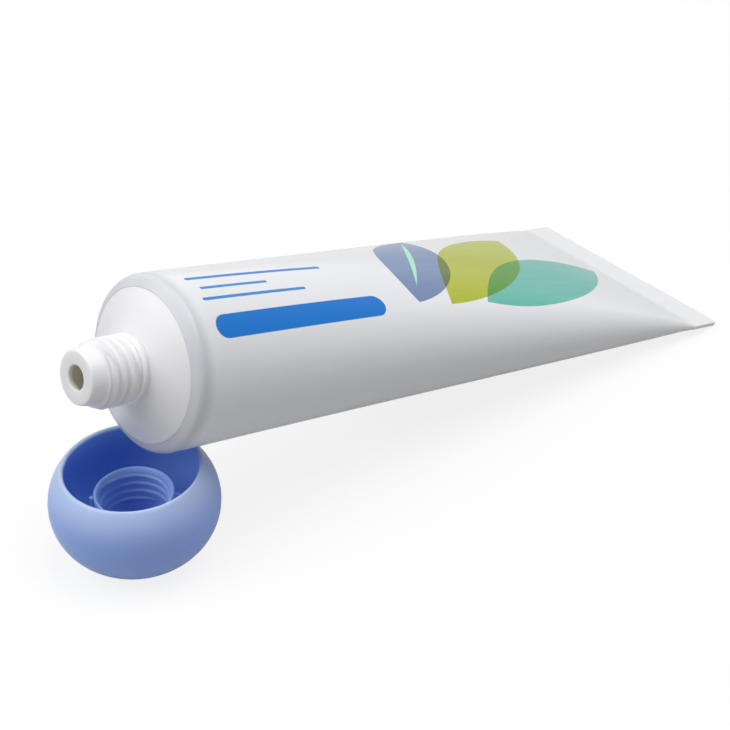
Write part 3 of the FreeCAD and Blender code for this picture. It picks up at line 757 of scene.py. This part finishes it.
# painted light: the cap's colour grows paler with height, from 13 mm to 22 mm above the foot, towards the lip
painted_light_to_lip = smooth_share(tree, level, 13.0 * MM, 22.0 * MM)
mottle = add_node(tree, "ShaderNodeTexNoise", Vector=where, Scale=scale_for(8.333), Detail=2.0).outputs["Fac"]
painted_light_and_mottle = maths_in(tree, "ADD", painted_light_to_lip, maths_in(
    tree, "MULTIPLY", maths_in(tree, "SUBTRACT", mottle, 0.5), 0.15))
painted_outside_blue = blend_colours(tree, painted_light_and_mottle, "#96B4F6", "#BACEF8")
# painted shade: the bowl is painted a more saturated blue than the outside, for the light that bounces in it
painted_bowl_blue = blend_colours(tree, painted_light_to_lip, "#9CBEFF", "#B0CAFF")
tint = blend_colours(tree, outside_share, painted_bowl_blue, painted_outside_blue)
grain = add_node(tree, "ShaderNodeTexNoise", Vector=where, Scale=scale_for(0.5556), Detail=2.0)
dents = add_node(tree, "ShaderNodeBump", Strength=0.05, Distance=0.05 * MM, Height=grain.outputs["Fac"])
from_collar = maths_in(tree, "ABSOLUTE", maths_in(tree, "SUBTRACT", from_axis, collar_middle * MM))
on_collar = smooth_share(tree, from_collar, 1.2 * MM, 2.2 * MM, 1.0, 0.0)
soaking = maths_in(
    tree, "SUBTRACT", maths_in(tree, "SUBTRACT", 1.0, maths_in(tree, "MULTIPLY", outside_share, 0.5)),
    maths_in(tree, "MULTIPLY", on_collar, 0.75))
skin = add_node(
    tree, "ShaderNodeBsdfPrincipled", Base_Color=tint, Roughness=0.34, IOR=1.45,
    Subsurface_Weight=soaking, Subsurface_Radius=(1.0, 1.0, 1.0), Subsurface_Scale=2.2 * MM,
    Normal=dents.outputs["Normal"])
finish_material(blue_pp, skin)

# %% [markdown]
# ### Paste
#
# A smooth pale mint paste with a wet sheen and a faint swirl.

# %% Mint paste
mint_paste, tree = new_material("soft_paste")
where = add_node(tree, "ShaderNodeTexCoord").outputs["Object"]
swirl = add_node(tree, "ShaderNodeTexNoise", Vector=where, Scale=scale_for(11.11), Detail=4.0)
tint = blend_colours(tree, swirl.outputs["Fac"], "#DCEEEA", "#EEF6F4")
dents = add_node(tree, "ShaderNodeBump", Strength=0.3, Distance=0.3 * MM, Height=swirl.outputs["Fac"])
skin = add_node(
    tree, "ShaderNodeBsdfPrincipled", Base_Color=tint, Roughness=0.25, IOR=1.45,
    Subsurface_Weight=0.4, Subsurface_Radius=(1.0, 1.0, 1.0), Subsurface_Scale=1.5 * MM,
    Normal=dents.outputs["Normal"])
finish_material(mint_paste, skin)

# %% [markdown]
# ### Printed laminate (sleeve)
#
# A polyethylene laminate, printed on the reel and covered with a glossy clear layer.  The print is generic: a
# blue bar, three thin rules and a fan of three petals.  It is worked out in millimetres on the rolled-out
# laminate, and every ink holds painted shade: darker near each crease and lighter further round the face.
# Where the front edge was shrunk over the shoulder, the film is drawn a little greyer.

# %% Print as fields of colour
laminate_print, tree = new_material("printed_laminate")
flat = add_node(tree, "ShaderNodeUVMap", {"uv_map": "rolled_out"})
split = add_node(tree, "ShaderNodeSeparateXYZ", Vector=flat.outputs["UV"])


def maths(operation, *values, clamp=False):
    """A Math node's result in the laminate's tree."""
    return maths_in(tree, operation, *values, clamp=clamp)


around = maths("MULTIPLY", split.outputs["X"], uv_unit)
along = maths("MULTIPLY", split.outputs["Y"], uv_unit)
face_width = math.pi * tube_radius
across = maths("SUBTRACT", around, maths("MULTIPLY", maths(
    "FLOOR", maths("DIVIDE", around, face_width)), face_width))


def inside_of(distance, blur=0.12):
    """1 where a signed distance in mm is negative, 0 outside, with an edge as sharp as printing ink's."""
    return maths("DIVIDE", maths("SUBTRACT", blur / 2, distance), blur, clamp=True)


def rounded_bar(first, last, middle, half_height):
    """A bar with round ends, from first to last along the tube, about a middle line."""
    off = maths("ABSOLUTE", maths("SUBTRACT", across, middle))
    before = maths("SUBTRACT", first + half_height, along)
    after = maths("SUBTRACT", along, last - half_height)
    beyond = maths("MAXIMUM", maths("MAXIMUM", before, after), 0.0)
    reach = maths("SQRT", maths("ADD", maths("MULTIPLY", off, off), maths("MULTIPLY", beyond, beyond)))
    return inside_of(maths("SUBTRACT", reach, half_height))


def petal(base, tip, half_width):
    """The lens between two arcs that meet at base and tip, both (along, across) in mm."""
    run, rise = (tip[0] - base[0]) / 2, (tip[1] - base[1]) / 2
    half_length = math.hypot(run, rise)
    radius = (half_length ** 2 + half_width ** 2) / (2 * half_width)
    from_middle = maths("SUBTRACT", along, base[0] + run)
    above_middle = maths("SUBTRACT", across, base[1] + rise)
    lengthwise = maths("ADD", maths("MULTIPLY", from_middle, run / half_length),
                       maths("MULTIPLY", above_middle, rise / half_length))
    sideways = maths("ABSOLUTE", maths("SUBTRACT", maths("MULTIPLY", above_middle, run / half_length),
                                       maths("MULTIPLY", from_middle, rise / half_length)))
    off = maths("ADD", sideways, radius - half_width)
    reach = maths(
        "SQRT", maths("ADD", maths("MULTIPLY", lengthwise, lengthwise), maths("MULTIPLY", off, off)))
    return inside_of(maths("SUBTRACT", reach, radius))


streak_width, streak_length = 1.667, 16.67  # mm round the tube and along it
stretched = add_node(
    tree, "ShaderNodeMapping", Vector=flat.outputs["UV"],
    Scale=(uv_unit / streak_width, uv_unit / streak_length, 1.0))
streaks = add_node(
    tree, "ShaderNodeTexNoise", Vector=stretched.outputs["Vector"], Scale=1.0, Detail=4.0, Roughness=0.6)
# painted shade: each ink is darker within 14 mm of a crease and lighter 48 mm round, for how the light falls;
# the streaks are the print's own
painted_shade_start, painted_shade_length = 14.0, 34.0
fade = maths("DIVIDE", maths("SUBTRACT", across, painted_shade_start), painted_shade_length, clamp=True)
painted_shade_and_streaks = maths("ADD", maths("MULTIPLY", fade, 0.6), maths("MULTIPLY", streaks.outputs["Fac"], 0.4), clamp=True)


def ink_over(base, mask, shaded_ink, lit_ink, blend="MULTIPLY"):
    """Prints one ink over the base where the mask is 1; the ink holds painted shade across the face and
    varies in streaks.
    """
    return blend_colours(tree, mask, base, blend_colours(tree, painted_shade_and_streaks, shaded_ink, lit_ink), blend)


printed = blend_colours(tree, streaks.outputs["Fac"], "#F0F1F5", "#F4F5F8")
# the fan of petals, the first with a pale vein
printed = ink_over(printed, petal((57, 15), (80, 47), 9.0), "#6C86B4", "#9CB0D0")
printed = ink_over(printed, petal((60, 20), (77.5, 44), 0.7), "#A8F0D4", "#B4F4DC", "MIX")
printed = ink_over(printed, petal((66, 13.5), (114, 46), 9.5), "#BAC414", "#D0D648")
printed = ink_over(printed, petal((77, 13), (134, 30), 9.5), "#60C4B2", "#8AD4C8")
# the bar and the three rules
printed = ink_over(printed, rounded_bar(0.6, 46.8, 15.55, 2.65), "#007EDE", "#0A88E4")
printed = ink_over(printed, rounded_bar(0.6, 28.5, 22.4, 0.4), "#3F94DE", "#4A9CE2")
printed = ink_over(printed, rounded_bar(2.0, 20.0, 25.6, 0.4), "#3F94DE", "#4A9CE2")
printed = ink_over(printed, rounded_bar(0.6, 38.0, 29.3, 0.5), "#2C84D8", "#3A8EDC")
# the front edge, drawn a little greyer from 2.8 mm before the shoulder's plane
greyer_front_edge = inside_of(maths("ADD", along, 2.8), 2.4)
printed = ink_over(printed, greyer_front_edge, "#E4E5E8", "#E6E7EA")
print("print on a face %.1f mm wide" % face_width)

# %% [markdown]
# The clear layer is glossy and never quite flat, and the jaws of the sealing tool leave fine lines across the
# seal, one to a millimetre.

# %% Gloss of the laminate
where = add_node(tree, "ShaderNodeTexCoord").outputs["Object"]
waviness = add_node(
    tree, "ShaderNodeTexNoise", Vector=where, Scale=scale_for(14.29), Detail=2.0, Roughness=0.4)
soft_dents = add_node(
    tree, "ShaderNodeBump", Strength=0.25, Distance=0.15 * MM, Height=waviness.outputs["Fac"])
seal_pitch = 1.0
seal_lines = maths("SINE", maths("MULTIPLY", along, math.tau / seal_pitch))
on_seal = maths("GREATER_THAN", along, tail_seam)
pressed = add_node(
    tree, "ShaderNodeBump", Strength=0.12, Distance=0.06 * MM, Height=maths("MULTIPLY", seal_lines, on_seal),
    Normal=soft_dents.outputs["Normal"])
skin = add_node(
    tree, "ShaderNodeBsdfPrincipled", Base_Color=printed, Roughness=0.24, IOR=1.4,
    Normal=pressed.outputs["Normal"])
finish_material(laminate_print, skin)

# %% [markdown]
# ## In place
#
# Each piece gets its material, goes to its place and rides on the tube's one body, and its CAD node is
# hidden.

# %% Dress the pieces and put them in place
for piece, place, material, node_name in (
        (sleeve, tube_place, laminate_print, "sleeve"), (head, tube_place, white_hdpe, "head"),
        (paste, tube_place, mint_paste, "paste"), (cap, cap_place, blue_pp, "cap")):
    piece.data.materials.clear()
    piece.data.materials.append(material)
    put_in_place(piece, place)
    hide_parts(node_name)

# %% [markdown]
# ## Floor and light
#
# A plain pale floor and two soft boxes, one overhead and one from the left, in a dim surround.  The floor and
# the surround look white to the camera and, in part, in reflections, but give off little light themselves.
# The floor keeps the shadow, because part of it is plain paper.

# %% Floor
deselect_all()
bpy.ops.mesh.primitive_plane_add(size=6.0, location=(0, 0, -0.0001))
floor = bpy.context.object
floor.name = "studio_floor"
pale_floor, tree = new_material("pale_paper")


def seen_directly(tree, reflected=1.0):
    """1 for rays from the camera, less in a mirror or through glass, 0 for rays that carry light."""
    path = add_node(tree, "ShaderNodeLightPath")
    mirrored = maths_in(tree, "MAXIMUM", path.outputs["Is Glossy Ray"], path.outputs["Is Transmission Ray"])
    dimmed = maths_in(tree, "MULTIPLY", mirrored, reflected)
    return maths_in(tree, "MAXIMUM", path.outputs["Is Camera Ray"], dimmed)


in_reflections, glowing_part = 0.2, 0.84
paper_grey, paper_white = "#CBCBCB", "#FFFFFF"
paper = add_node(
    tree, "ShaderNodeBsdfDiffuse",
    Color=blend_colours(tree, seen_directly(tree, in_reflections), paper_grey, paper_white))
white = add_node(tree, "ShaderNodeEmission", Color=colour(paper_white), Strength=1.0)
share = maths_in(tree, "MULTIPLY", seen_directly(tree, in_reflections), glowing_part)
look = add_node(tree, "ShaderNodeMixShader", in0=share, in1=paper.outputs[0], in2=white.outputs[0])
finish_material(pale_floor, look)
floor.data.materials.append(pale_floor)

# %% [markdown]
# The soft boxes are close and large, so the tones run softly from the tube's bright top to its grey side.

# %% Lamps and surround
def soft_lamp(name, place, aim, size, watts):
    """A rectangular soft box aimed at a point."""
    lamp = bpy.data.objects.new(name, bpy.data.lights.new(name, "AREA"))
    lamp.data.shape = "RECTANGLE"
    lamp.data.size, lamp.data.size_y = size
    lamp.data.energy = watts
    lamp.location = place
    lamp.rotation_euler = (Vector(aim) - Vector(place)).to_track_quat("-Z", "Y").to_euler()
    bpy.context.scene.collection.objects.link(lamp)
    print(name, "gives", watts, "W")


soft_lamp("top_box", (0.2, -0.15, 0.97), (0, 0, 0.02), (0.9, 0.8), 7.5)
soft_lamp("left_box", (-0.6, 0.35, 0.72), (0, 0, 0.03), (0.9, 0.9), 6.1)
world = bpy.data.worlds.new("surround")
bpy.context.scene.world = world
world.use_nodes = True
tree = world.node_tree
tree.nodes.clear()
dim = add_node(tree, "ShaderNodeBackground", Color=colour(paper_white), Strength=0.07)
bright = add_node(tree, "ShaderNodeBackground", Color=colour(paper_white), Strength=1.0)
both = add_node(
    tree, "ShaderNodeMixShader", in0=seen_directly(tree), in1=dim.outputs[0], in2=bright.outputs[0])
tree.links.new(both.outputs[0], add_node(tree, "ShaderNodeOutputWorld").inputs["Surface"])
bpy.context.scene.view_settings.view_transform = "Standard"
